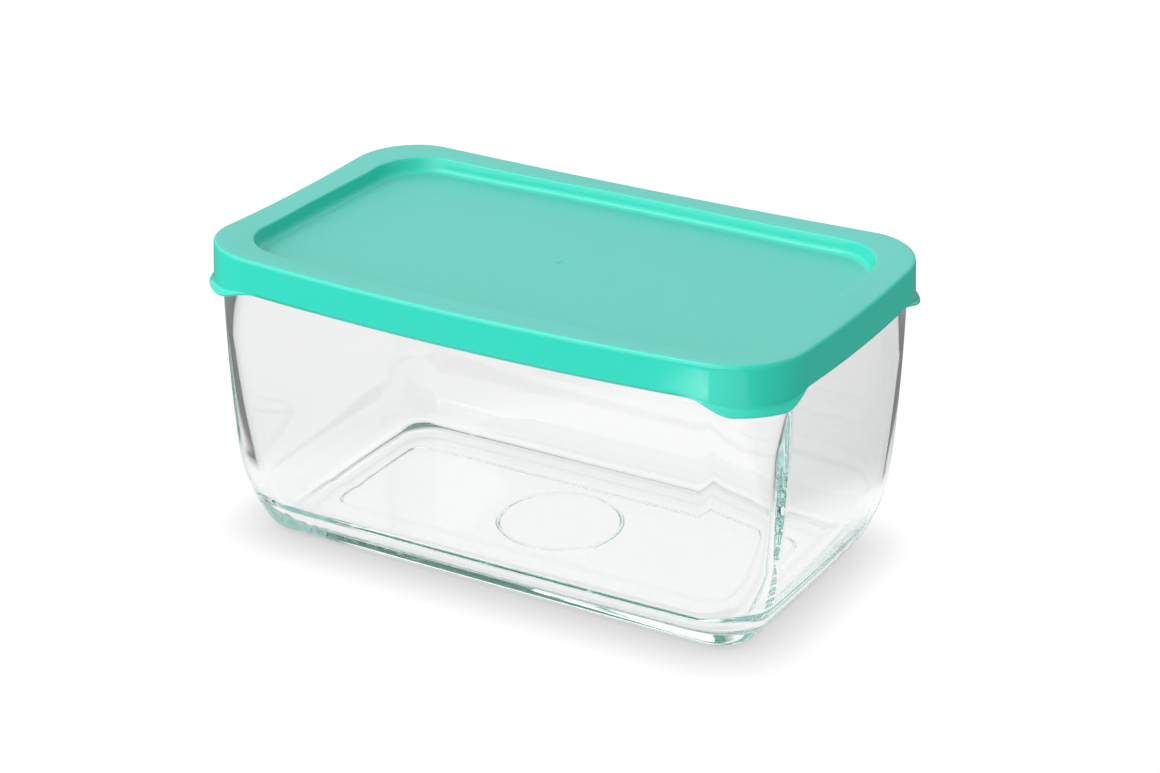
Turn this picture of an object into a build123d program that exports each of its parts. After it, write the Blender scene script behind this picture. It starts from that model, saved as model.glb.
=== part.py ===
from build123d import *
import math
import os

# Rectangular glass food container with a one-piece press-fit lid, in millimetres.
# The origin is the middle of the base, +X runs along the length and +Z is up.

# Lid outline, seen from above
LID_LENGTH = 200.0
LID_WIDTH = 118.6
LID_CORNER_RADIUS = 22.6
END_BOW = 1.0
SIDE_BOW = 2.4

# Glass heights
GLASS_HEIGHT = 95.2
NECK_HEIGHT = 81.5
HEEL_HEIGHT = 28.0
FLOOR_THICKNESS = 5.3

# Glass wall, as insets from the lid outline
NECK_INSET = 2.15
WALL_DRAFT = 0.013
WALL_ARC_RADIUS = 760.0
WALL_THICKNESS = 3.8
HEEL_THICKNESS = 4.6
HEEL_ARC_RADIUS = 57.0
BASE_ARC_RADIUS = 7.0
BASE_SIDE_BOW = 0.4
BASE_CORNER_GAIN = 2.4
CAVITY_BASE_RADIUS = 14.0
CAVITY_CORNER = 13.0
CAVITY_CORNER_HEIGHT = 15.0
CAVITY_FLOOR_CORNER = 12.0

# Rolled rim of the glass
RIM_BEAD_INSET = 1.8
RIM_BEAD_HEIGHT = 6.0
RIM_ROUND = 1.2

# Underside of the glass
PUSH_UP_LENGTH = 142.0
PUSH_UP_WIDTH = 50.0
PUSH_UP_CORNER = 6.0
PUSH_UP_DEPTH = 0.8
RING_RADIUS = 19.7
RING_WIDTH = 1.4
RING_PROUD = 0.5

# Lid
LID_WALL = 1.4
SEAL_GAP = 0.1
SKIRT_HEIGHT = 12.0
SKIRT_FLARE = 0.5
SKIRT_TOP_FILLET = 1.0
RECESS_LENGTH = 178.4
RECESS_WIDTH = 100.8
RECESS_CORNER = 18.5
RECESS_DEPTH = 4.8
RECESS_DRAFT = 0.6
RECESS_FILLET = 1.6
SEAL_LIP_INSET = 6.1
SEAL_LIP_THICKNESS = 1.7
SEAL_LIP_HEIGHT = 4.0
SNAP_BEAD_INSET = 1.5
SNAP_BEAD_HEIGHT = 1.6
SNAP_BEAD_RISE = 1.2
GATE_RADIUS = 1.5
GATE_DEPTH = 0.3

# Pull tabs at the four corners
TAB_DROP = 4.2
SMALL_TAB_DROP = 3.5
TAB_FLARE = 1.7
TAB_FLARE_POWER = 1.6
TAB_SHOULDER_RISE = 1.0
TAB_FLAT_HALF_WIDTH = 10.5
SMALL_TAB_FLAT_HALF_WIDTH = 7.0
TAB_HALF_WIDTH = 20.0

# Cross-sections skinned into each curved stretch
BASE_SECTIONS = 5
WALL_SECTIONS = 4
CAVITY_WALL_SECTIONS = 7
FLARE_SHARES = (0, 0.4, 0.8, 1.2)

# How far a cutting shape reaches past what it cuts
MARGIN = 5.0

LID_TOP = GLASS_HEIGHT + SEAL_GAP + LID_WALL
LID_UNDERSIDE = GLASS_HEIGHT + SEAL_GAP
SKIRT_BOTTOM = LID_TOP - SKIRT_HEIGHT
PANEL_TOP = LID_TOP - RECESS_DEPTH
PANEL_UNDERSIDE = PANEL_TOP - LID_WALL
CAVITY_HEEL_RADIUS = HEEL_ARC_RADIUS - HEEL_THICKNESS


def quadrant_centres(half_length, half_width, corner, end_bow, side_bow):
    """Centres and radii of the end, corner and side arcs, tangent to one another."""
    end_radius = (half_width**2 + end_bow**2) / (2 * end_bow)
    side_radius = (half_length**2 + side_bow**2) / (2 * side_bow)
    end_centre = Vector(half_length - end_radius, 0)
    side_centre = Vector(0, half_width - side_radius)
    span = side_centre - end_centre
    reach_end = end_radius - corner
    reach_side = side_radius - corner
    along = (reach_end**2 - reach_side**2 + span.length**2) / (2 * span.length)
    across = math.sqrt(reach_end**2 - along**2)
    unit = span.normalized()
    corner_centre = end_centre + unit * along + Vector(-unit.Y, unit.X) * across
    return (end_centre, end_radius), (corner_centre, corner), (side_centre, side_radius)


def outline(half_length, half_width, corner, end_bow, side_bow, height):
    """Rounded rectangle with slightly bowed sides: eight tangent arcs at one height."""
    parts = quadrant_centres(half_length, half_width, corner, end_bow, side_bow)
    (end_centre, end_radius), (corner_centre, _), (side_centre, side_radius) = parts
    to_end = (corner_centre - end_centre).normalized()
    to_side = (corner_centre - side_centre).normalized()
    end_point = end_centre + to_end * end_radius
    side_point = side_centre + to_side * side_radius
    corner_point = corner_centre + (to_end + to_side).normalized() * corner

    def at(point, sign_x, sign_y):
        return (point.X * sign_x, point.Y * sign_y, height)

    edges = [
        ThreePointArc(at(end_point, 1, -1), (half_length, 0, height), at(end_point, 1, 1)),
        ThreePointArc(at(end_point, 1, 1), at(corner_point, 1, 1), at(side_point, 1, 1)),
        ThreePointArc(at(side_point, 1, 1), (0, half_width, height), at(side_point, -1, 1)),
        ThreePointArc(at(side_point, -1, 1), at(corner_point, -1, 1), at(end_point, -1, 1)),
        ThreePointArc(at(end_point, -1, 1), (-half_length, 0, height), at(end_point, -1, -1)),
        ThreePointArc(at(end_point, -1, -1), at(corner_point, -1, -1), at(side_point, -1, -1)),
        ThreePointArc(at(side_point, -1, -1), (0, -half_width, height), at(side_point, 1, -1)),
        ThreePointArc(at(side_point, 1, -1), at(corner_point, 1, -1), at(end_point, 1, -1)),
    ]
    return Wire(edges)


def lid_outline(inset, height):
    """The lid outline moved inward by the inset, at one height."""
    return outline(
        LID_LENGTH / 2 - inset,
        LID_WIDTH / 2 - inset,
        LID_CORNER_RADIUS - inset,
        END_BOW,
        SIDE_BOW,
        height,
    )


def skinned(wires, ruled=False):
    return Solid.make_loft(wires, ruled)


def wall_inset(height):
    """Inset of the outer glass wall: slight draft that curves inward further down."""
    drop = NECK_HEIGHT - height
    return NECK_INSET + WALL_DRAFT * drop + drop**2 / (2 * WALL_ARC_RADIUS)


def heel_start_sine():
    """Sine of the wall's lean from vertical where the heel arc takes over."""
    slope = WALL_DRAFT + (NECK_HEIGHT - HEEL_HEIGHT) / WALL_ARC_RADIUS
    return math.sin(math.atan(slope))


def base_start_sine():
    """Sine of the lean where the heel arc hands over to the tighter base arc."""
    reach = HEEL_HEIGHT + HEEL_ARC_RADIUS * heel_start_sine() - BASE_ARC_RADIUS
    return reach / (HEEL_ARC_RADIUS - BASE_ARC_RADIUS)


def cosine(sine):
    return math.sqrt(max(0.0, 1 - sine**2))


BASE_ARC_HEIGHT = BASE_ARC_RADIUS * (1 - base_start_sine())


def glass_inset(height):
    """Inset of the outside of the glass: wall, heel arc and base arc, tangent in turn."""
    if height >= HEEL_HEIGHT:
        return wall_inset(height)
    start = heel_start_sine()
    sine = start + (HEEL_HEIGHT - max(height, BASE_ARC_HEIGHT)) / HEEL_ARC_RADIUS
    inset = wall_inset(HEEL_HEIGHT) + HEEL_ARC_RADIUS * (cosine(start) - cosine(sine))
    if height < BASE_ARC_HEIGHT:
        sine = 1 - height / BASE_ARC_RADIUS
        inset += BASE_ARC_RADIUS * (cosine(base_start_sine()) - cosine(sine))
    return inset


def side_bow_at(height):
    share = min(height / NECK_HEIGHT, 1.0)
    return BASE_SIDE_BOW + (SIDE_BOW - BASE_SIDE_BOW) * share


def glass_section(height):
    inset = glass_inset(height)
    gain = BASE_CORNER_GAIN * max(0.0, 1 - height / HEEL_HEIGHT)
    corner = LID_CORNER_RADIUS - inset + gain
    half_length = LID_LENGTH / 2 - inset
    half_width = LID_WIDTH / 2 - inset
    return outline(half_length, half_width, corner, END_BOW, side_bow_at(height), height)


def levels(low, high, count):
    return [low + (high - low) * step / (count - 1) for step in range(count)]


def base_arc_levels(count):
    """Heights of evenly turned sections round the base arc, from the table up."""
    start = math.asin(base_start_sine())
    leans = levels(math.pi / 2, start, count)
    return [BASE_ARC_RADIUS * (1 - math.sin(lean)) for lean in leans]


def glass_blank():
    """Outer form: base arc, heel, wall, neck and rolled rim."""
    heel_levels = levels(BASE_ARC_HEIGHT, HEEL_HEIGHT, WALL_SECTIONS)
    wall_levels = levels(HEEL_HEIGHT, NECK_HEIGHT, WALL_SECTIONS)
    base = skinned([glass_section(height) for height in base_arc_levels(BASE_SECTIONS)])
    heel = skinned([glass_section(height) for height in heel_levels])
    wall = skinned([glass_section(height) for height in wall_levels])
    bead_bottom = GLASS_HEIGHT - RIM_BEAD_HEIGHT
    neck = skinned([lid_outline(NECK_INSET, NECK_HEIGHT), lid_outline(NECK_INSET, bead_bottom)], True)
    bead_wires = [lid_outline(RIM_BEAD_INSET, height) for height in (bead_bottom, GLASS_HEIGHT)]
    bead = skinned(bead_wires, True)
    bead = bead.fillet(RIM_ROUND, bead.edges().group_by(Axis.Z)[-1])
    return base + heel + wall + neck + bead


def cavity_section(inset, corner, height):
    half_length = LID_LENGTH / 2 - inset
    half_width = LID_WIDTH / 2 - inset
    return outline(half_length, half_width, corner, END_BOW, side_bow_at(height), height)


def heel_centre():
    """Inset and height of the centre that the heel's outer and inner arcs share."""
    start = heel_start_sine()
    return wall_inset(HEEL_HEIGHT) + HEEL_ARC_RADIUS * cosine(start), HEEL_HEIGHT + HEEL_ARC_RADIUS * start


def cavity_heel_point(lean, radius):
    centre_inset, centre_height = heel_centre()
    return centre_inset - radius * math.cos(lean), centre_height - radius * math.sin(lean)


def cavity_base_lean():
    """Lean where the inner heel arc hands over to the arc into the floor."""
    drop = heel_centre()[1] - FLOOR_THICKNESS - CAVITY_BASE_RADIUS
    return math.asin(drop / (CAVITY_HEEL_RADIUS - CAVITY_BASE_RADIUS))


def cavity_wall():
    """Straight part of the food space; its corners tighten just below the neck."""
    heel_inset, heel_height = cavity_heel_point(math.asin(heel_start_sine()), CAVITY_HEEL_RADIUS)
    gain = heel_inset - wall_inset(heel_height) - WALL_THICKNESS
    wires = []
    for height in levels(heel_height, NECK_HEIGHT, CAVITY_WALL_SECTIONS):
        drop = NECK_HEIGHT - height
        inset = wall_inset(height) + WALL_THICKNESS + gain * drop / (NECK_HEIGHT - heel_height)
        neck_corner = LID_CORNER_RADIUS - inset
        share = min(1.0, drop / CAVITY_CORNER_HEIGHT)
        corner = neck_corner + (CAVITY_CORNER - neck_corner) * share
        wires.append(cavity_section(inset, corner, height))
    return skinned(wires)


def cavity_heel():
    """Heel of the food space, parallel to the outer heel, and the arc into the floor."""
    first = math.asin(heel_start_sine())
    last = cavity_base_lean()
    heel_wires = []
    for lean in levels(first, last, WALL_SECTIONS):
        inset, height = cavity_heel_point(lean, CAVITY_HEEL_RADIUS)
        share = (lean - first) / (last - first)
        corner = CAVITY_CORNER + (CAVITY_FLOOR_CORNER - CAVITY_CORNER) * share
        heel_wires.append(cavity_section(inset, corner, height))
    base_inset, base_height = cavity_heel_point(last, CAVITY_HEEL_RADIUS - CAVITY_BASE_RADIUS)
    base_wires = []
    for lean in levels(last, math.pi / 2, BASE_SECTIONS):
        inset = base_inset - CAVITY_BASE_RADIUS * math.cos(lean)
        height = base_height - CAVITY_BASE_RADIUS * math.sin(lean)
        base_wires.append(cavity_section(inset, CAVITY_FLOOR_CORNER, height))
    return skinned(heel_wires) + skinned(base_wires)


def cavity():
    """Food space, open at the top."""
    rim_inset = NECK_INSET + WALL_THICKNESS
    top_wires = [lid_outline(rim_inset, height) for height in (NECK_HEIGHT, GLASS_HEIGHT + MARGIN)]
    return cavity_heel() + cavity_wall() + skinned(top_wires, True)


def push_up():
    """Shallow hollow under the base, so that only its border touches the table."""
    area = RectangleRounded(PUSH_UP_LENGTH, PUSH_UP_WIDTH, PUSH_UP_CORNER)
    return extrude(area, PUSH_UP_DEPTH)


def base_ring():
    """Raised ring under the middle of the base, inside the shallow hollow."""
    ring = Circle(RING_RADIUS + RING_WIDTH / 2) - Circle(RING_RADIUS - RING_WIDTH / 2)
    start = PUSH_UP_DEPTH - RING_PROUD
    return Pos(0, 0, start) * extrude(ring, RING_PROUD)


def glass_container():
    return glass_blank() - cavity() - push_up() + base_ring()


def skirt_inset(height):
    """Outer face of the skirt: widens a little towards its open edge."""
    return -SKIRT_FLARE * (LID_TOP - height) / SKIRT_HEIGHT


def flare_sections(extra_inset):
    """Sections of the tabs' flare, from the skirt's edge to a little past the tabs' edge."""
    start = skirt_inset(SKIRT_BOTTOM)
    wires = []
    for share in FLARE_SHARES:
        inset = start - TAB_FLARE * share**TAB_FLARE_POWER + extra_inset
        wires.append(lid_outline(inset, SKIRT_BOTTOM - TAB_DROP * share))
    return wires


def lid_shell():
    """Flat rim band with the skirt around the glass and a flare all round below it."""
    edge_inset = skirt_inset(SKIRT_BOTTOM)
    outer = skinned([lid_outline(edge_inset, SKIRT_BOTTOM), lid_outline(0, LID_TOP)], True)
    outer = outer.fillet(SKIRT_TOP_FILLET, outer.edges().group_by(Axis.Z)[-1])
    inner_wires = [
        lid_outline(edge_inset + LID_WALL, SKIRT_BOTTOM),
        lid_outline(skirt_inset(LID_UNDERSIDE) + LID_WALL, LID_UNDERSIDE),
    ]
    inner = skinned(inner_wires, True)
    return outer - inner + (skinned(flare_sections(0)) - skinned(flare_sections(LID_WALL)))


def between_tabs():
    """What is cut away below the skirt so that only the four corner tabs stay."""
    height = TAB_DROP + MARGIN
    slab = Pos(0, 0, SKIRT_BOTTOM) * Box(
        LID_LENGTH + 4 * MARGIN,
        LID_WIDTH + 4 * MARGIN,
        height,
        align=(Align.CENTER, Align.CENTER, Align.MAX),
    )
    for prism in tab_prisms():
        slab = slab - prism
    return slab


def recess_outline(grow, height):
    """Outline of the stacking recess, moved outward by grow."""
    return outline(
        RECESS_LENGTH / 2 + grow,
        RECESS_WIDTH / 2 + grow,
        RECESS_CORNER + grow,
        END_BOW,
        SIDE_BOW,
        height,
    )


def recess():
    """Stacking recess in the top of the lid."""
    wires = [recess_outline(-RECESS_DRAFT, PANEL_TOP), recess_outline(0, LID_TOP)]
    hollow = skinned(wires, True)
    return hollow.fillet(RECESS_FILLET, hollow.edges().group_by(Axis.Z)[0])


def recess_tub():
    """Outside of the recess, hanging below the rim band."""
    wires = [
        recess_outline(LID_WALL - RECESS_DRAFT, PANEL_UNDERSIDE),
        recess_outline(LID_WALL, LID_UNDERSIDE),
    ]
    tub = skinned(wires, True)
    return tub.fillet(RECESS_FILLET, tub.edges().group_by(Axis.Z)[0])


def ring_between(outer_inset, inner_inset, low, high):
    outer = skinned([lid_outline(outer_inset, height) for height in (low, high)], True)
    inner = skinned([lid_outline(inner_inset, height) for height in (low, high)], True)
    return outer - inner


def seal_lip():
    """Lip that plugs the mouth just inside the glass rim."""
    inner_inset = SEAL_LIP_INSET + SEAL_LIP_THICKNESS
    low = LID_UNDERSIDE - SEAL_LIP_HEIGHT
    return ring_between(SEAL_LIP_INSET, inner_inset, low, LID_UNDERSIDE)


def snap_bead():
    """Bead inside the skirt, under the rolled rim of the glass."""
    low = SKIRT_BOTTOM + SNAP_BEAD_RISE
    high = low + SNAP_BEAD_HEIGHT
    wall_middle = skirt_inset(low) + LID_WALL / 2
    return ring_between(wall_middle, SNAP_BEAD_INSET, low, high)


def tab_window(drop, flat_half_width):
    """Tab silhouette facing a corner: a flat bottom between two S-shaped shoulders."""
    bottom = SKIRT_BOTTOM - drop
    shoulder = SKIRT_BOTTOM + TAB_SHOULDER_RISE
    middle = (bottom + shoulder) / 2
    half = (flat_half_width + TAB_HALF_WIDTH) / 2
    flat_end = (flat_half_width, bottom)
    right = Spline(flat_end, (half, middle), (TAB_HALF_WIDTH, shoulder), tangents=[(1, 0), (1, 0)])
    left = mirror(right, Plane.YZ)
    top = Line((TAB_HALF_WIDTH, shoulder), (-TAB_HALF_WIDTH, shoulder))
    edge = Line(flat_end, (-flat_half_width, bottom))
    return make_face([right, top, left, edge])


def tab_prisms():
    """The tab silhouettes carried outward through the corners, two large and two small."""
    parts = quadrant_centres(LID_LENGTH / 2, LID_WIDTH / 2, LID_CORNER_RADIUS, END_BOW, SIDE_BOW)
    centre = parts[1][0]
    large = tab_window(TAB_DROP, TAB_FLAT_HALF_WIDTH)
    small = tab_window(SMALL_TAB_DROP, SMALL_TAB_FLAT_HALF_WIDTH)
    prisms = []
    for sign_x, sign_y in ((1, 1), (-1, 1), (-1, -1), (1, -1)):
        facing = Vector(sign_x, sign_y).normalized()
        sideways = Vector(-facing.Y, facing.X, 0)
        origin = Vector(centre.X * sign_x, centre.Y * sign_y)
        plane = Plane(origin=origin, x_dir=sideways, z_dir=facing)
        window = small if sign_x == sign_y else large
        prisms.append(extrude(plane * window, 2 * LID_CORNER_RADIUS))
    return prisms


def gate_dimple():
    """Small round dimple that the moulding gate leaves in the middle of the panel."""
    return Pos(0, 0, PANEL_TOP - GATE_DEPTH) * Cylinder(
        GATE_RADIUS, 2 * GATE_DEPTH, align=(Align.CENTER, Align.CENTER, Align.MIN)
    )


def lid():
    body = lid_shell() - between_tabs() + recess_tub() - recess()
    body = body + seal_lip() + snap_bead()
    return body - gate_dimple()


def main():
    os.makedirs("parts", exist_ok=True)
    nodes = {"glass_container": glass_container(), "lid": lid()}
    for name, shape in nodes.items():
        export_step(shape, f"parts/{name}.step")


main()
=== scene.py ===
import math

import bpy
import numpy as np
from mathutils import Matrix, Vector


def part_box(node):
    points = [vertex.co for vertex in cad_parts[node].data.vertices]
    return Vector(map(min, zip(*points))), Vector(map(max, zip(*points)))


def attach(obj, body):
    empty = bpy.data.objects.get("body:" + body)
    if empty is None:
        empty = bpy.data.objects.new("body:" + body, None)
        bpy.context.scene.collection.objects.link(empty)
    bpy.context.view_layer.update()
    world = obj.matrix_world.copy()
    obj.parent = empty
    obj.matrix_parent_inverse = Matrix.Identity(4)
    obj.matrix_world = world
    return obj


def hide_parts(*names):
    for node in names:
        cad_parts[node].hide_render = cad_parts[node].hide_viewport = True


# Looks of a rectangular glass food container with a soft plastic press-fit lid.
# Both pieces are skinned over rings that follow one bowed, rounded-rectangle outline.

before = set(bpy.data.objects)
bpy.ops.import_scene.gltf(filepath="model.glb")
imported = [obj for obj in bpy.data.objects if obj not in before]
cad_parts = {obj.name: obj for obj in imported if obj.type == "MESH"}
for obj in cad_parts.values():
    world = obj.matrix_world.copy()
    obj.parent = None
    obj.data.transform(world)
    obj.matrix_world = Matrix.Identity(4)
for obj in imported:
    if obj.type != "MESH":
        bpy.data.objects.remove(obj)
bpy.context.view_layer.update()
GLASS_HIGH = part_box("glass_container")[1]
LID_LOW, LID_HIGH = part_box("lid")

MM = 0.001
LENGTHWISE = (1, 0, 0)
CROSSWISE = (0, 1, 0)
UPWARD = (0, 0, 1)

# Outline of the lid, seen from above
RIM_BEAD_INSET = 1.8 * MM
HALF_LENGTH = GLASS_HIGH[0] + RIM_BEAD_INSET
HALF_WIDTH = GLASS_HIGH[1] + RIM_BEAD_INSET
OUTLINE_CORNER = 22.6 * MM
END_BOW = 1.0 * MM
SIDE_BOW = 2.4 * MM

# Glass levels and wall, as insets from the lid outline
RIM_TOP = GLASS_HIGH[2]
NECK_LEVEL = 81.5 * MM
HEEL_LEVEL = 28.0 * MM
NECK_INSET = 2.15 * MM
WALL_DRAFT = 0.013
WALL_ARC = 760.0 * MM
WALL_THICKNESS = 3.8 * MM
HEEL_ARC = 57.0 * MM
BASE_ARC = 7.0 * MM
BASE_SIDE_BOW = 0.4 * MM
BASE_CORNER_GAIN = 2.4 * MM
FLOOR_LEVEL = 5.3 * MM
HEEL_THICKNESS = 4.6 * MM
CAVITY_BASE_ARC = 14.0 * MM
CAVITY_CORNER = 13.0 * MM
CORNER_CHANGE = 15.0 * MM
FLOOR_CORNER = 12.0 * MM
RIM_BEAD_HEIGHT = 6.0 * MM
RIM_BEAD_RUN_OUT = 2.0 * MM
RIM_ROUND = 1.2 * MM
RIM_STRAIGHT = 1.0 * MM

# Underside of the glass
PUSH_UP_HALF_LENGTH = 71.0 * MM
PUSH_UP_HALF_WIDTH = 25.0 * MM
PUSH_UP_CORNER = 6.0 * MM
PUSH_UP_DEPTH = 0.8 * MM
PUSH_UP_EDGE = 1.6 * MM
RING_RADIUS = 19.7 * MM
RING_HALF_WIDTH = 0.9 * MM
RING_PROUD = 0.35 * MM

# Distance of the rings that keep a flat stretch flat right up to its edge
HOLD = 0.15 * MM

# Lid levels
LID_TOP = LID_HIGH[2]
TAB_BOTTOM = LID_LOW[2]
LID_WALL = 1.4 * MM
TAB_DROP = 4.2 * MM
SKIRT_BOTTOM = TAB_BOTTOM + TAB_DROP
SKIRT_FLARE = 0.5 * MM
TOP_EDGE_ROUND = 1.0 * MM
RIM_CROWN = 0.4 * MM
RIM_EDGE_LEAN = 0.1
RECESS_DEPTH = 4.8 * MM
RECESS_END_BAND = 10.8 * MM
RECESS_SIDE_BAND = 8.9 * MM
RECESS_CORNER = 18.5 * MM
RECESS_DRAFT = 0.6 * MM
RECESS_LIP_ROUND = 0.6 * MM
RECESS_FLOOR_ROUND = 2.2 * MM
UNDERSIDE = LID_TOP - LID_WALL
PANEL = LID_TOP - RECESS_DEPTH
SEAL_LIP_INSET = 6.1 * MM
SEAL_LIP_THICKNESS = 1.7 * MM
SEAL_LIP_HEIGHT = 4.0 * MM
SNAP_BEAD_INSET = 1.5 * MM
SNAP_BEAD_RISE = 2.0 * MM
SNAP_BEAD_HALF_HEIGHT = 0.8 * MM
TAB_FLARE = 1.5 * MM
TAB_LIP_START = 0.45
TAB_LIP_POWER = 1.5
TAB_FLAT_HALF_WIDTH = 7.0 * MM
TAB_HALF_WIDTH = 20.5 * MM
SMALL_TAB_DROP = 3.5 * MM
SMALL_TAB_FLAT_HALF_WIDTH = 6.0 * MM
GATE_RADIUS = 1.5 * MM
GATE_DEPTH = 0.3 * MM
GATE_EDGE_START = 0.75
GATE_EDGE_END = 1.15
GATE_SURROUND = 1.3

# How far the snapped-on lid flexes up towards its corners, and the shares of the lid's
# half size between which the flex sets in
FLEX_LENGTHWISE = 2.41 * MM
FLEX_CROSSWISE = 2.67 * MM
FLEX_START = 0.45
FLEX_FULL = 0.95

# Ring sampling: steps in half of an end, a corner and half of a side
END_STEPS = 14
CORNER_STEPS = 48
SIDE_STEPS = 22

# Glass: depth tint, and the scale, strength and relief of its waves
GLASS_INDEX = 1.52
GLASS_TINT = (0.5, 0.97, 0.91, 1)
GLASS_TINT_DENSITY = 1.7
BROAD_WAVE_SCALE = 28.0
BROAD_WAVE_STRENGTH = 0.06
BROAD_WAVE_RELIEF = 1.0 * MM
FINE_WAVE_SCALE = 90.0
FINE_WAVE_STRENGTH = 0.02
FINE_WAVE_RELIEF = 0.3 * MM

# Lid plastic: satin skirt, matte grained top painted paler as a sheen, and how level a face is where
# one turns into the other
MINT_SATIN = (0.03, 0.6, 0.46, 1)
MINT_MATTE_PAINTED_SHEEN = (0.08, 0.5, 0.425, 1)
SKIRT_ROUGHNESS = 0.12
TOP_ROUGHNESS = 0.46
SKIRT_GRAIN = 0.04
TOP_GRAIN = 0.35
SATIN_LEVEL = 0.8
MATTE_LEVEL = 0.97
MOTTLE_SCALE = 45.0
MOTTLE_AMOUNT = 0.3
GRAIN_SCALE = 1400.0
GRAIN_RELIEF = 0.12 * MM
GRAIN_ROUGHNESS = 0.12
PLASTIC_DEPTH_SHARE = 0.15
PLASTIC_DEPTH_COLOUR = (0.2, 1.0, 0.8)
PLASTIC_DEPTH = 1.5 * MM

# Light is followed through up to this many surfaces of the glass
GLASS_BOUNCES = 128

# Camera
CAMERA_AZIMUTH = 30.05
CAMERA_ELEVATION = 24.18
CAMERA_DISTANCE = 0.9021
CAMERA_TARGET = (0.00635, 0.0, 0.05187)
CAMERA_LENS = 90.25
SENSOR_WIDTH = 36.0

# The floor lies a hair below the glass foot and glows like a light table
FLOOR_GAP = -0.2 * MM
FLOOR_HALF_SIZE = 6.0
FLOOR_GLOW = 1.02
# Painted shade: seen through the glass, the floor glows a little dimmer
FLOOR_THROUGH_GLASS = 0.93
FLOOR_BOUNCE = 0.6

# Dark patches painted into the floor's glow, left and right in the camera's view, seen only after one
# or two reflections: painted dark reflections in the glass
DARK_PATCH_AXIS = (0.866, 0.5, 0.0)
LIT_REACH = 0.12
DARK_REACH = 0.145
DARK_PATCH_SHADE = 0.82
DARK_PATCH_MOST_REFLECTIONS = 2

# Small bright patch painted into the floor's glow in front, seen only in what the outside of the object
# reflects: a painted highlight
HIGHLIGHT_PATCH_PLACE = (11.0 * MM, -296.0 * MM)
HIGHLIGHT_PATCH_HALF_SIZE = (38.0 * MM, 24.0 * MM)
HIGHLIGHT_PATCH_GLOW = 4.0
HIGHLIGHT_PATCH_FADE = 3.0 * MM

# Contact shadow on the floor round the foot
SHADOW_REACH = 17.0 * MM
SHADOW_DEPTH = 0.43
SHADOW_DEPTH_THROUGH_GLASS = 0.06
SHADOW_FADE = 3.0 * MM
FOOT_HALF_LENGTH = 81.0 * MM
FOOT_HALF_WIDTH = 40.5 * MM
UNDER_FOOT_SHADE = 0.155

# Softbox at the front left
SOFTBOX_AZIMUTH = -25.0
SOFTBOX_ELEVATION = 48.0
SOFTBOX_DISTANCE = 1.2
SOFTBOX_SIZE = 0.7
SOFTBOX_POWER = 3.0

# Soft studio light, and its lobes: direction, cosines where a lobe starts and is full, strength
WORLD_LEVEL = 0.76
WORLD_THROUGH_GLASS = 1.0
WORLD_LOBES = (
    ((1.0, 0.1, 0.0), 0.0, 0.8, -0.24),
    ((-0.35, 0.6, 0.72), 0.88, 0.98, 0.75),
)

# Front light, kept out of what is seen through the glass
FRONT_LOBE = ((-0.35, -0.75, 0.1), 0.2, 1.0, 1.5)


# ---------------------------------------------------------------- outlines

def arc(centre, radius, start, end, shares):
    """Points round an arc at the given shares of its turn."""
    angles = start + (end - start) * shares
    return np.stack([centre[0] + radius * np.cos(angles), centre[1] + radius * np.sin(angles)], 1)


# Shares of half an end, a corner and half a side; long runs get denser towards the corner
END_SHARES = np.sin(math.pi / 2 * np.arange(END_STEPS) / END_STEPS)
CORNER_SHARES = np.arange(CORNER_STEPS) / CORNER_STEPS
SIDE_SHARES = 1 - np.sin(math.pi / 2 * (1 - np.arange(SIDE_STEPS) / SIDE_STEPS))


def outline(half_length, half_width, corner, end_bow, side_bow):
    """One ring of the bowed rounded rectangle, counter-clockwise from the +X end."""
    end_radius = (half_width**2 + end_bow**2) / (2 * end_bow)
    side_radius = (half_length**2 + side_bow**2) / (2 * side_bow)
    end_centre = np.array([half_length - end_radius, 0.0])
    side_centre = np.array([0.0, half_width - side_radius])
    span = side_centre - end_centre
    gap = np.linalg.norm(span)
    unit = span / gap
    reach_end = end_radius - corner
    reach_side = side_radius - corner
    along = (reach_end**2 - reach_side**2 + gap**2) / (2 * gap)
    across = math.sqrt(reach_end**2 - along**2)
    centre = end_centre + unit * along + np.array([-unit[1], unit[0]]) * across
    end_turn = math.atan2(centre[1] - end_centre[1], centre[0] - end_centre[0])
    side_turn = math.atan2(centre[1] - side_centre[1], centre[0] - side_centre[0])
    first = np.concatenate([
        arc(end_centre, end_radius, 0.0, end_turn, END_SHARES),
        arc(centre, corner, end_turn, side_turn, CORNER_SHARES),
        arc(side_centre, side_radius, side_turn, math.pi / 2, SIDE_SHARES),
        [[0.0, half_width]],
    ])
    second = first[::-1] * (-1, 1)
    upper = np.concatenate([first[:-1], second[:-1]])
    return np.concatenate([upper, -upper])


def lid_outline(inset):
    return outline(HALF_LENGTH - inset, HALF_WIDTH - inset, OUTLINE_CORNER - inset, END_BOW, SIDE_BOW)


def at_level(points, height):
    heights = np.broadcast_to(height, len(points))
    return np.column_stack([points, heights])


def circle(radius, count):
    angles = 2 * math.pi * np.arange(count) / count
    return np.stack([radius * np.cos(angles), radius * np.sin(angles)], 1)


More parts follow.
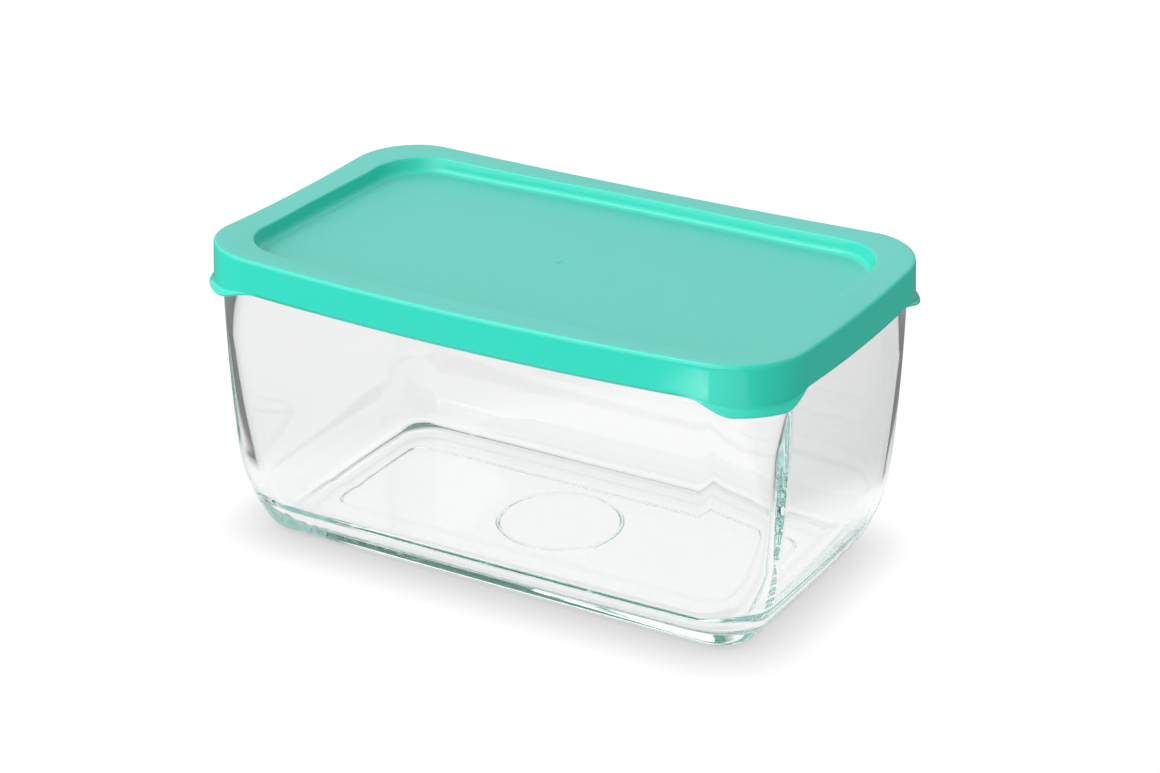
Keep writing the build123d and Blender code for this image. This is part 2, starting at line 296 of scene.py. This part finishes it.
def skin(name, rings):
    """A closed smooth mesh over the rings, with a fan at each end."""
    count = len(rings[0])
    points = np.concatenate(rings)
    faces = []
    for level in range(len(rings) - 1):
        low = level * count
        high = low + count
        for step in range(count):
            after = (step + 1) % count
            faces.append((low + step, low + after, high + after, high + step))
    first = len(points)
    last = first + 1
    ends = np.array([rings[0].mean(0), rings[-1].mean(0)])
    top = (len(rings) - 1) * count
    for step in range(count):
        after = (step + 1) % count
        faces.append((first, after, step))
        faces.append((last, top + step, top + after))
    mesh = bpy.data.meshes.new(name)
    mesh.from_pydata(np.concatenate([points, ends]).tolist(), [], faces)
    mesh.validate()
    mesh.polygons.foreach_set("use_smooth", [True] * len(mesh.polygons))
    mesh.update()
    piece = bpy.data.objects.new(name, mesh)
    bpy.context.scene.collection.objects.link(piece)
    return piece


# ---------------------------------------------------------------- glass

def wall_inset(height):
    drop = NECK_LEVEL - height
    return NECK_INSET + WALL_DRAFT * drop + drop**2 / (2 * WALL_ARC)


def cosine(sine):
    return math.sqrt(max(0.0, 1 - sine**2))


HEEL_SINE = math.sin(math.atan(WALL_DRAFT + (NECK_LEVEL - HEEL_LEVEL) / WALL_ARC))
BASE_SINE = (HEEL_LEVEL + HEEL_ARC * HEEL_SINE - BASE_ARC) / (HEEL_ARC - BASE_ARC)
BASE_ARC_LEVEL = BASE_ARC * (1 - BASE_SINE)


def glass_inset(height):
    """Inset of the outside: a wall arc, a heel arc and a base arc, tangent in turn."""
    if height >= HEEL_LEVEL:
        return wall_inset(height)
    sine = HEEL_SINE + (HEEL_LEVEL - max(height, BASE_ARC_LEVEL)) / HEEL_ARC
    inset = wall_inset(HEEL_LEVEL) + HEEL_ARC * (cosine(HEEL_SINE) - cosine(sine))
    if height < BASE_ARC_LEVEL:
        inset += BASE_ARC * (cosine(BASE_SINE) - cosine(1 - height / BASE_ARC))
    return inset


def side_bow_at(height):
    share = min(height / NECK_LEVEL, 1.0)
    return BASE_SIDE_BOW + (SIDE_BOW - BASE_SIDE_BOW) * share


def section(inset, corner, height):
    points = outline(HALF_LENGTH - inset, HALF_WIDTH - inset, corner, END_BOW, side_bow_at(height))
    return at_level(points, height)


def outer_section(height):
    inset = glass_inset(height)
    gain = BASE_CORNER_GAIN * max(0.0, 1 - height / HEEL_LEVEL)
    return section(inset, OUTLINE_CORNER - inset + gain, height)


HEEL_CENTRE_INSET = wall_inset(HEEL_LEVEL) + HEEL_ARC * cosine(HEEL_SINE)
HEEL_CENTRE_LEVEL = HEEL_LEVEL + HEEL_ARC * HEEL_SINE
CAVITY_HEEL_ARC = HEEL_ARC - HEEL_THICKNESS
CAVITY_HEEL_LEVEL = HEEL_CENTRE_LEVEL - CAVITY_HEEL_ARC * HEEL_SINE
CAVITY_BASE_CENTRE_LEVEL = FLOOR_LEVEL + CAVITY_BASE_ARC
CAVITY_BASE_SINE = (HEEL_CENTRE_LEVEL - CAVITY_BASE_CENTRE_LEVEL) / (CAVITY_HEEL_ARC - CAVITY_BASE_ARC)


def cavity_corner(level_share, inset):
    """Corner radius of the cavity, which changes over a short stretch below the neck."""
    neck = OUTLINE_CORNER - inset
    return neck + (CAVITY_CORNER - neck) * min(1.0, level_share)


def cavity_wall_rings(steps):
    """Inside of the wall, from the neck down to where the heel starts."""
    heel_inset = HEEL_CENTRE_INSET - CAVITY_HEEL_ARC * cosine(HEEL_SINE)
    gain = heel_inset - wall_inset(CAVITY_HEEL_LEVEL) - WALL_THICKNESS
    rings = []
    for share in np.linspace(0, 1, steps):
        height = NECK_LEVEL + (CAVITY_HEEL_LEVEL - NECK_LEVEL) * share
        inset = wall_inset(height) + WALL_THICKNESS + gain * share
        corner = cavity_corner((NECK_LEVEL - height) / CORNER_CHANGE, inset)
        rings.append(section(inset, corner, height))
    return rings


def cavity_heel_rings(heel_steps, base_steps):
    """Heel of the cavity, parallel to the outer heel, and the small arc into the floor."""
    rings = []
    first = math.asin(HEEL_SINE)
    last = math.asin(CAVITY_BASE_SINE)
    for lean in np.linspace(first, last, heel_steps)[1:]:
        share = (lean - first) / (last - first)
        inset = HEEL_CENTRE_INSET - CAVITY_HEEL_ARC * math.cos(lean)
        height = HEEL_CENTRE_LEVEL - CAVITY_HEEL_ARC * math.sin(lean)
        rings.append(section(inset, CAVITY_CORNER + (FLOOR_CORNER - CAVITY_CORNER) * share, height))
    base_inset = HEEL_CENTRE_INSET - (CAVITY_HEEL_ARC - CAVITY_BASE_ARC) * math.cos(last)
    for lean in np.linspace(last, math.pi / 2, base_steps)[1:]:
        inset = base_inset - CAVITY_BASE_ARC * math.cos(lean)
        height = CAVITY_BASE_CENTRE_LEVEL - CAVITY_BASE_ARC * math.sin(lean)
        rings.append(section(inset, FLOOR_CORNER, height))
    return rings


def rim_rings():
    """Neck, rolled rim and back down inside to the neck."""
    rings = []
    bead_bottom = RIM_TOP - RIM_BEAD_HEIGHT
    inner_inset = NECK_INSET + WALL_THICKNESS
    for turn in np.linspace(0, math.pi, 7):
        inset = RIM_BEAD_INSET + (NECK_INSET - RIM_BEAD_INSET) * (1 + math.cos(turn)) / 2
        height = bead_bottom + RIM_BEAD_RUN_OUT * (turn / math.pi - 0.5)
        rings.append(at_level(lid_outline(inset), height))
    rings.append(at_level(lid_outline(RIM_BEAD_INSET), RIM_TOP - RIM_ROUND - RIM_STRAIGHT))
    for turn in np.linspace(0, math.pi / 2, 7):
        inset = RIM_BEAD_INSET + RIM_ROUND * (1 - math.cos(turn))
        rings.append(at_level(lid_outline(inset), RIM_TOP - RIM_ROUND * (1 - math.sin(turn))))
    for turn in np.linspace(math.pi / 2, math.pi, 7):
        inset = inner_inset - RIM_ROUND * (1 + math.cos(turn))
        rings.append(at_level(lid_outline(inset), RIM_TOP - RIM_ROUND * (1 - math.sin(turn))))
    rings.append(at_level(lid_outline(inner_inset), RIM_TOP - RIM_ROUND - RIM_STRAIGHT))
    return rings


def push_up_outline(out):
    return outline(
        PUSH_UP_HALF_LENGTH + out,
        PUSH_UP_HALF_WIDTH + out,
        PUSH_UP_CORNER + out,
        BASE_SIDE_BOW,
        BASE_SIDE_BOW,
    )


def between(first, last, shares):
    return [first + (last - first) * share for share in shares]


def base_rings(count):
    """Underside, from the middle out to the edge of the flat foot."""
    rings = []
    ring_foot = RING_RADIUS - RING_HALF_WIDTH
    for radius in (1.0 * MM, 0.5 * ring_foot, ring_foot - HOLD):
        rings.append(at_level(circle(radius, count), PUSH_UP_DEPTH))
    for turn in np.linspace(-math.pi, math.pi, 15):
        radius = RING_RADIUS + RING_HALF_WIDTH * turn / math.pi
        height = PUSH_UP_DEPTH - RING_PROUD * (1 + math.cos(turn)) / 2
        rings.append(at_level(circle(radius, count), height))
    inner = at_level(circle(RING_RADIUS + RING_HALF_WIDTH + HOLD, count), PUSH_UP_DEPTH)
    border = at_level(push_up_outline(-PUSH_UP_EDGE - HOLD), PUSH_UP_DEPTH)
    rings += between(inner, border, np.linspace(0, 1, 6))
    for turn in np.linspace(0, math.pi, 9):
        points = push_up_outline(PUSH_UP_EDGE * (turn / math.pi - 1))
        rings.append(at_level(points, PUSH_UP_DEPTH * (1 + math.cos(turn)) / 2))
    start = at_level(push_up_outline(HOLD), 0.0)
    foot = outer_section(0.0)
    rings += between(start, foot, (0, 0.3, 0.6, 0.9, 0.98))
    return rings


def glass_rings():
    count = len(lid_outline(0.0))
    rings = base_rings(count)
    start = math.asin(BASE_SINE)
    for lean in np.linspace(math.pi / 2, start, 12):
        rings.append(outer_section(BASE_ARC * (1 - math.sin(lean))))
    for height in np.linspace(BASE_ARC_LEVEL, HEEL_LEVEL, 16)[1:]:
        rings.append(outer_section(height))
    for height in np.linspace(HEEL_LEVEL, NECK_LEVEL, 20)[1:]:
        rings.append(outer_section(height))
    rings += rim_rings()
    rings += cavity_wall_rings(steps=28)
    rings += cavity_heel_rings(heel_steps=20, base_steps=16)
    floor_edge = rings[-1]
    for share in (0.995, 0.95, 0.75, 0.5, 0.25, 0.02):
        rings.append(at_level(floor_edge[:, :2] * share, FLOOR_LEVEL))
    return rings


def make_glass():
    piece = skin("glass_body", glass_rings())
    piece.data.materials.append(glass_material())
    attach(piece, "container")
    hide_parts("glass_container")


# ---------------------------------------------------------------- lid

def smooth_step(value):
    value = np.clip(value, 0, 1)
    return value * value * (3 - 2 * value)


def corner_distance(points):
    """Distance along the outline from the nearest corner's middle, for each ring point."""
    steps = np.linalg.norm(np.roll(points, -1, 0) - points, axis=1)
    along = np.concatenate([[0], np.cumsum(steps)])
    total = along[-1]
    middle_step = END_STEPS + CORNER_STEPS // 2
    quadrant = END_STEPS + CORNER_STEPS + SIDE_STEPS
    gaps = []
    for middle in (
        middle_step,
        2 * quadrant - middle_step,
        2 * quadrant + middle_step,
        4 * quadrant - middle_step,
    ):
        gap = np.abs(along[:-1] - along[middle])
        gaps.append(np.minimum(gap, total - gap))
    return np.min(gaps, 0)


def tab_profile():
    """Drop below the skirt and share of the full flare, for each ring point."""
    points = lid_outline(0.0)
    large = points[:, 0] * points[:, 1] < 0
    drop = np.where(large, TAB_DROP, SMALL_TAB_DROP)
    flat = np.where(large, TAB_FLAT_HALF_WIDTH, SMALL_TAB_FLAT_HALF_WIDTH)
    share = 1 - smooth_step((corner_distance(points) - flat) / (TAB_HALF_WIDTH - flat))
    return drop * share, share


TAB_DROPS, TAB_SHARES = tab_profile()


def skirt_inset(height):
    return -SKIRT_FLARE * (LID_TOP - height) / (LID_TOP - SKIRT_BOTTOM)


def skirt_ring(drop_share, extra_inset, edge_lift):
    """A ring of the flared edge: drop_share runs from 0 at the skirt to 1 at the tab's edge."""
    base = lid_outline(0.0)
    outward = lid_outline(-1.0 * MM) - base
    outward /= np.linalg.norm(outward, axis=1)[:, None]
    lip = max(0.0, (drop_share - TAB_LIP_START) / (1 - TAB_LIP_START)) ** TAB_LIP_POWER
    flare = -skirt_inset(SKIRT_BOTTOM) + TAB_FLARE * TAB_SHARES * lip - extra_inset
    heights = SKIRT_BOTTOM - TAB_DROPS * drop_share + edge_lift
    return np.column_stack([base + outward * flare[:, None], heights])


def recess_outline(inward):
    return outline(
        HALF_LENGTH - RECESS_END_BAND - inward,
        HALF_WIDTH - RECESS_SIDE_BAND - inward,
        RECESS_CORNER - inward,
        END_BOW,
        SIDE_BOW,
    )


def stretch(first, last, steps):
    """Rings over a straight stretch, with one close to each end to keep it straight."""
    hold = HOLD / np.linalg.norm(last - first, axis=1).mean()
    inner = np.linspace(0, 1, steps + 1)[1:-1]
    return between(first, last, [0, hold, *inner, 1 - hold, 1])


def panel_rings(count, height, dimple):
    """A level panel with a shallow round gate mark in its middle."""
    rings = [at_level(circle(0.5 * GATE_RADIUS, count), height - dimple)]
    for turn in np.linspace(0, math.pi, 7):
        radius = GATE_RADIUS * (GATE_EDGE_START + (GATE_EDGE_END - GATE_EDGE_START) * turn / math.pi)
        rings.append(at_level(circle(radius, count), height - dimple * (1 + math.cos(turn)) / 2))
    middle = at_level(circle(GATE_RADIUS * GATE_SURROUND, count), height)
    edge = at_level(recess_outline(RECESS_DRAFT + RECESS_FLOOR_ROUND + HOLD), height)
    return rings + stretch(middle, edge, steps=6)


def top_rings(count):
    """Panel, recess wall, rim band and top edge."""
    rings = panel_rings(count, PANEL, GATE_DEPTH)
    for turn in np.linspace(0, math.pi / 2, 8):
        inward = RECESS_DRAFT + RECESS_FLOOR_ROUND * (1 - math.sin(turn))
        height = PANEL + RECESS_FLOOR_ROUND * (1 - math.cos(turn))
        rings.append(at_level(recess_outline(inward), height))
    for turn in np.linspace(0, math.pi / 2, 6):
        inward = -RECESS_LIP_ROUND * (1 - math.cos(turn))
        height = LID_TOP - RECESS_LIP_ROUND * (1 - math.sin(turn))
        rings.append(at_level(recess_outline(inward), height))
    band_inner = at_level(recess_outline(-RECESS_LIP_ROUND), LID_TOP)
    band_outer = at_level(lid_outline(TOP_EDGE_ROUND), LID_TOP)
    for share in np.linspace(0, 1, 8)[1:]:
        ring = band_inner + (band_outer - band_inner) * share
        ring[:, 2] -= RIM_CROWN * share**2
        rings.append(ring)
    for turn in np.linspace(RIM_EDGE_LEAN, math.pi / 2, 7)[1:]:
        inset = TOP_EDGE_ROUND * (1 - math.sin(turn))
        fall = RIM_CROWN + TOP_EDGE_ROUND * (1 - math.cos(turn))
        rings.append(at_level(lid_outline(inset), LID_TOP - fall))
    return rings


def skirt_rings():
    """Outside of the skirt, tab flare, rounded edge and back up inside."""
    rings = []
    top = LID_TOP - TOP_EDGE_ROUND - RIM_CROWN
    for height in (top - HOLD, *np.linspace(top, SKIRT_BOTTOM, 10)[1:-1]):
        rings.append(at_level(lid_outline(skirt_inset(height)), height))
    for share in np.linspace(0, 1, 14):
        rings.append(skirt_ring(share, 0.0, LID_WALL / 2))
    for turn in np.linspace(0, math.pi, 9)[1:-1]:
        extra = LID_WALL / 2 * (1 - math.cos(turn))
        lift = LID_WALL / 2 * (1 - math.sin(turn))
        rings.append(skirt_ring(1.0, extra, lift))
    for share in np.linspace(1, 0, 14):
        rings.append(skirt_ring(share, LID_WALL, LID_WALL / 2))
    bead_middle = SKIRT_BOTTOM + SNAP_BEAD_RISE
    for turn in np.linspace(-math.pi / 2, math.pi / 2, 7):
        height = bead_middle + SNAP_BEAD_HALF_HEIGHT * math.sin(turn)
        wall = skirt_inset(height) + LID_WALL
        inset = wall + (SNAP_BEAD_INSET - wall) * math.cos(turn)
        rings.append(at_level(lid_outline(inset), height))
    rings.append(at_level(lid_outline(skirt_inset(UNDERSIDE) + LID_WALL), UNDERSIDE))
    return rings


def underside_rings(count):
    """Seal groove, seal lip, outside of the recess and the panel's underside."""
    rings = []
    lip_bottom = UNDERSIDE - SEAL_LIP_HEIGHT
    lip_middle = SEAL_LIP_INSET + SEAL_LIP_THICKNESS / 2
    rings.append(at_level(lid_outline(SEAL_LIP_INSET), UNDERSIDE))
    for turn in np.linspace(0, math.pi, 7):
        inset = lip_middle - SEAL_LIP_THICKNESS / 2 * math.cos(turn)
        height = lip_bottom - SEAL_LIP_THICKNESS / 2 * (math.sin(turn) - 1)
        rings.append(at_level(lid_outline(inset), height))
    tub_floor = PANEL - LID_WALL
    rings.append(at_level(recess_outline(-LID_WALL), lip_bottom + SEAL_LIP_THICKNESS))
    for turn in np.linspace(0, math.pi / 2, 6):
        inward = RECESS_DRAFT - LID_WALL + RECESS_FLOOR_ROUND * (1 - math.cos(turn))
        height = tub_floor + RECESS_FLOOR_ROUND * (1 - math.sin(turn))
        rings.append(at_level(recess_outline(inward), height))
    inner = panel_rings(count, tub_floor, 0.0)
    return rings + inner[::-1]


def flex(ring):
    """The snapped-on lid rises towards its corners; its panel stays almost level."""
    x = ring[:, 0] / HALF_LENGTH
    y = ring[:, 1] / HALF_WIDTH
    reach = np.maximum(np.abs(x), np.abs(y))
    rise = FLEX_LENGTHWISE * (x**2 - 1) + FLEX_CROSSWISE * y**2
    lifted = ring.copy()
    lifted[:, 2] += np.maximum(rise, 0.0) * smooth_step((reach - FLEX_START) / (FLEX_FULL - FLEX_START))
    return lifted


def make_lid():
    count = len(lid_outline(0.0))
    rings = top_rings(count) + skirt_rings() + underside_rings(count)
    piece = skin("lid_shell", [flex(ring) for ring in rings])
    piece.data.materials.append(plastic_material())
    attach(piece, "lid")
    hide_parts("lid")


# ---------------------------------------------------------------- materials

def new_material(name):
    material = bpy.data.materials.new(name)
    material.use_nodes = True
    return material, material.node_tree.nodes, material.node_tree.links


def math_node(nodes, links, operation, first, second=None):
    """A Math node over sockets or numbers."""
    node = nodes.new("ShaderNodeMath")
    node.operation = operation
    for socket, value in zip(node.inputs, (first, second)):
        if value is None:
            continue
        if isinstance(value, (int, float)):
            socket.default_value = value
        else:
            links.new(value, socket)
    return node.outputs["Value"]


def multiply(nodes, links, first, second):
    return math_node(nodes, links, "MULTIPLY", first, second)


def ramp(nodes, links, value, low, high, start, end):
    """A smooth change from one number to another."""
    node = nodes.new("ShaderNodeMapRange")
    node.interpolation_type = "SMOOTHSTEP"
    node.inputs["From Min"].default_value = low
    node.inputs["From Max"].default_value = high
    node.inputs["To Min"].default_value = start
    node.inputs["To Max"].default_value = end
    links.new(value, node.inputs["Value"])
    return node.outputs["Result"]


def along(nodes, links, direction, axis):
    """How far a direction or place lies along an axis."""
    node = nodes.new("ShaderNodeVectorMath")
    node.operation = "DOT_PRODUCT"
    node.inputs[1].default_value = axis
    links.new(direction, node.inputs[0])
    return node.outputs["Value"]


def noise(nodes, links, scale, detail):
    """Fine variation over the object, as a number from 0 to 1."""
    place = nodes.new("ShaderNodeTexCoord")
    node = nodes.new("ShaderNodeTexNoise")
    node.inputs["Scale"].default_value = scale
    node.inputs["Detail"].default_value = detail
    links.new(place.outputs["Object"], node.inputs["Vector"])
    return node.outputs["Fac"]


def centred(nodes, links, fraction, amount):
    """A number from 0 to 1, moved to swing about 0 by the given amount."""
    return multiply(nodes, links, math_node(nodes, links, "SUBTRACT", fraction, 0.5), amount)


def bump(nodes, links, height, strength, distance, under=None):
    """Surface relief; strength is a number or a socket."""
    node = nodes.new("ShaderNodeBump")
    node.inputs["Distance"].default_value = distance
    if isinstance(strength, float):
        node.inputs["Strength"].default_value = strength
    else:
        links.new(strength, node.inputs["Strength"])
    links.new(height, node.inputs["Height"])
    if under is not None:
        links.new(under, node.inputs["Normal"])
    return node.outputs["Normal"]


def glass_material():
    """Pressed glass: clear, a little wavy, with a faint green tint in its depth."""
    material, nodes, links = new_material("pressed_glass")
    shader = nodes["Principled BSDF"]
    shader.inputs["Base Color"].default_value = (1.0, 1.0, 1.0, 1)
    shader.inputs["Transmission Weight"].default_value = 1.0
    shader.inputs["IOR"].default_value = GLASS_INDEX
    shader.inputs["Roughness"].default_value = 0.0
    swell = noise(nodes, links, BROAD_WAVE_SCALE, detail=1.0)
    ripple = noise(nodes, links, FINE_WAVE_SCALE, detail=2.0)
    broad = bump(nodes, links, swell, BROAD_WAVE_STRENGTH, BROAD_WAVE_RELIEF)
    waves = bump(nodes, links, ripple, FINE_WAVE_STRENGTH, FINE_WAVE_RELIEF, broad)
    links.new(waves, shader.inputs["Normal"])
    tint = nodes.new("ShaderNodeVolumeAbsorption")
    tint.inputs["Color"].default_value = GLASS_TINT
    tint.inputs["Density"].default_value = GLASS_TINT_DENSITY
    links.new(tint.outputs["Volume"], nodes["Material Output"].inputs["Volume"])
    return material


def plastic_material():
    """Soft mint plastic: a finely grained matte top and smooth satin skirt; upward faces take a paler
    mint, a painted sheen.
    """
    material, nodes, links = new_material("mint_plastic")
    shader = nodes["Principled BSDF"]
    facing = nodes.new("ShaderNodeNewGeometry").outputs["Normal"]
    level = ramp(nodes, links, along(nodes, links, facing, UPWARD), SATIN_LEVEL, MATTE_LEVEL, 0.0, 1.0)
    mottle = noise(nodes, links, MOTTLE_SCALE, detail=3.0)
    grain = noise(nodes, links, GRAIN_SCALE, detail=2.0)
    # Painted sheen: faces that look up take the paler mint
    colour = nodes.new("ShaderNodeMix")
    colour.data_type = "RGBA"
    colour.inputs["A"].default_value = MINT_SATIN
    colour.inputs["B"].default_value = MINT_MATTE_PAINTED_SHEEN
    cloud = centred(nodes, links, mottle, MOTTLE_AMOUNT)
    links.new(math_node(nodes, links, "ADD", level, cloud), colour.inputs["Factor"])
    links.new(colour.outputs["Result"], shader.inputs["Base Color"])
    rough = ramp(nodes, links, level, 0.0, 1.0, SKIRT_ROUGHNESS, TOP_ROUGHNESS)
    vary = centred(nodes, links, grain, GRAIN_ROUGHNESS)
    links.new(math_node(nodes, links, "ADD", rough, vary), shader.inputs["Roughness"])
    relief = ramp(nodes, links, level, 0.0, 1.0, SKIRT_GRAIN, TOP_GRAIN)
    links.new(bump(nodes, links, grain, relief, GRAIN_RELIEF), shader.inputs["Normal"])
    shader.inputs["Subsurface Weight"].default_value = PLASTIC_DEPTH_SHARE
    shader.inputs["Subsurface Radius"].default_value = PLASTIC_DEPTH_COLOUR
    shader.inputs["Subsurface Scale"].default_value = PLASTIC_DEPTH
    return material


# ---------------------------------------------------------------- studio

def distance_along(nodes, links, place, axis, middle=0.0):
    """How far a place is from the middle, along an axis."""
    offset = math_node(nodes, links, "SUBTRACT", along(nodes, links, place, axis), middle)
    return math_node(nodes, links, "ABSOLUTE", offset)


def foot_mask(nodes, links, place):
    """0 under the foot of the glass and 1 past it."""
    past = []
    for axis, half in ((LENGTHWISE, FOOT_HALF_LENGTH), (CROSSWISE, FOOT_HALF_WIDTH)):
        reach = distance_along(nodes, links, place, axis)
        past.append(ramp(nodes, links, reach, half - SHADOW_FADE, half, 0.0, 1.0))
    return math_node(nodes, links, "MAXIMUM", *past)


def contact_shadow(nodes, links, crossed, past_foot):
    """Share of the floor's light that is left round the foot."""
    nearness = nodes.new("ShaderNodeAmbientOcclusion")
    nearness.inputs["Distance"].default_value = SHADOW_REACH
    hidden = math_node(nodes, links, "SUBTRACT", 1.0, nearness.outputs["AO"])
    depth = ramp(nodes, links, crossed, 0.0, 1.0, SHADOW_DEPTH, SHADOW_DEPTH_THROUGH_GLASS)
    lost = multiply(nodes, links, multiply(nodes, links, hidden, past_foot), depth)
    return math_node(nodes, links, "SUBTRACT", 1.0, lost)


def painted_dark_reflections(nodes, links, place, reflections):
    """Share of the floor's light that is left after one or two reflections, where two dark patches
    paint dark reflections.
    """
    sideways = distance_along(nodes, links, place, DARK_PATCH_AXIS)
    dark_patch = ramp(nodes, links, sideways, LIT_REACH, DARK_REACH, 0.0, DARK_PATCH_SHADE)
    some = math_node(nodes, links, "GREATER_THAN", reflections, 0.5)
    few = math_node(nodes, links, "LESS_THAN", reflections, DARK_PATCH_MOST_REFLECTIONS + 0.5)
    unseen = multiply(nodes, links, dark_patch, multiply(nodes, links, some, few))
    return math_node(nodes, links, "SUBTRACT", 1.0, unseen)


def painted_highlight_patch(nodes, links, place, glossy, crossed):
    """Light of the small bright patch, which paints a highlight in what the outside reflects."""
    sheen = multiply(nodes, links, glossy, math_node(nodes, links, "LESS_THAN", crossed, 0.5))
    for axis, middle, half in zip((LENGTHWISE, CROSSWISE), HIGHLIGHT_PATCH_PLACE, HIGHLIGHT_PATCH_HALF_SIZE):
        reach = distance_along(nodes, links, place, axis, middle)
        inside = ramp(nodes, links, reach, half, half + HIGHLIGHT_PATCH_FADE, 1.0, 0.0)
        sheen = multiply(nodes, links, sheen, inside)
    return multiply(nodes, links, sheen, HIGHLIGHT_PATCH_GLOW)


def floor_material():
    """A glow that rays see differently: straight, reflected, or through the glass."""
    material, nodes, links = new_material("pale_floor")
    nodes.remove(nodes["Principled BSDF"])
    place = nodes.new("ShaderNodeNewGeometry").outputs["Position"]
    path = nodes.new("ShaderNodeLightPath").outputs
    crossed = path["Transmission Depth"]
    past_foot = foot_mask(nodes, links, place)
    total = ramp(nodes, links, path["Is Diffuse Ray"], 0.0, 1.0, FLOOR_GLOW, FLOOR_BOUNCE)
    for share in (
        # painted shade: the floor dimmer through the glass
        ramp(nodes, links, crossed, 0.0, 1.0, 1.0, FLOOR_THROUGH_GLASS),
        ramp(nodes, links, past_foot, 0.0, 1.0, 1.0 - UNDER_FOOT_SHADE, 1.0),
        # painted dark reflections of two dark floor patches
        painted_dark_reflections(nodes, links, place, path["Glossy Depth"]),
        contact_shadow(nodes, links, crossed, past_foot),
    ):
        total = multiply(nodes, links, total, share)
    # painted highlight: a bright floor patch seen only in reflections off the outside
    sheen = painted_highlight_patch(nodes, links, place, path["Is Glossy Ray"], crossed)
    table = nodes.new("ShaderNodeEmission")
    links.new(math_node(nodes, links, "ADD", total, sheen), table.inputs["Strength"])
    links.new(table.outputs["Emission"], nodes["Material Output"].inputs["Surface"])
    return material


def make_floor():
    """One large square that stays when the object moves."""
    mesh = bpy.data.meshes.new("studio_floor")
    square = ((-1, -1), (1, -1), (1, 1), (-1, 1))
    corners = [(x * FLOOR_HALF_SIZE, y * FLOOR_HALF_SIZE, FLOOR_GAP) for x, y in square]
    mesh.from_pydata(corners, [], [(0, 1, 2, 3)])
    mesh.materials.append(floor_material())
    floor = bpy.data.objects.new("studio_floor", mesh)
    bpy.context.scene.collection.objects.link(floor)


def lobe_light(nodes, links, direction, lobe):
    """Extra light from round one direction."""
    towards, low, high, strength = lobe
    share = along(nodes, links, direction, Vector(towards).normalized())
    return ramp(nodes, links, share, low, high, 0.0, strength)


def make_world():
    world = bpy.data.worlds.new("studio")
    bpy.context.scene.world = world
    world.use_nodes = True
    nodes, links = world.node_tree.nodes, world.node_tree.links
    background = nodes["Background"]
    background.inputs["Color"].default_value = (1, 1, 1, 1)
    direction = nodes.new("ShaderNodeTexCoord").outputs["Generated"]
    crossed = nodes.new("ShaderNodeLightPath").outputs["Transmission Depth"]
    total = ramp(nodes, links, crossed, 0.0, 1.0, WORLD_LEVEL, WORLD_THROUGH_GLASS)
    for lobe in WORLD_LOBES:
        total = math_node(nodes, links, "ADD", total, lobe_light(nodes, links, direction, lobe))
    outside = math_node(nodes, links, "LESS_THAN", crossed, 0.5)
    front = multiply(nodes, links, outside, lobe_light(nodes, links, direction, FRONT_LOBE))
    links.new(math_node(nodes, links, "ADD", total, front), background.inputs["Strength"])


def seen_from(azimuth, elevation):
    """Direction from the object towards a place around it; azimuth 0 is the front."""
    turn = math.radians(azimuth)
    lift = math.radians(elevation)
    return Vector((math.sin(turn) * math.cos(lift), -math.cos(turn) * math.cos(lift), math.sin(lift)))


def aim(thing, azimuth, elevation, distance):
    away = seen_from(azimuth, elevation)
    bpy.context.scene.collection.objects.link(thing)
    thing.location = Vector(CAMERA_TARGET) + away * distance
    thing.rotation_euler = away.to_track_quat("Z", "Y").to_euler()


def make_softbox():
    data = bpy.data.lights.new("softbox", "AREA")
    data.shape = "SQUARE"
    data.size = SOFTBOX_SIZE
    data.energy = SOFTBOX_POWER
    aim(bpy.data.objects.new("softbox", data), SOFTBOX_AZIMUTH, SOFTBOX_ELEVATION, SOFTBOX_DISTANCE)


def make_camera():
    data = bpy.data.cameras.new("camera")
    data.lens = CAMERA_LENS
    data.sensor_width = SENSOR_WIDTH
    camera = bpy.data.objects.new("camera", data)
    aim(camera, CAMERA_AZIMUTH, CAMERA_ELEVATION, CAMERA_DISTANCE)
    bpy.context.scene.camera = camera


make_glass()
make_lid()
make_floor()
make_world()
make_softbox()
make_camera()
bpy.context.scene.view_settings.view_transform = "Standard"
cycles = bpy.context.scene.cycles
cycles.max_bounces = GLASS_BOUNCES
cycles.transmission_bounces = GLASS_BOUNCES
cycles.glossy_bounces = GLASS_BOUNCES
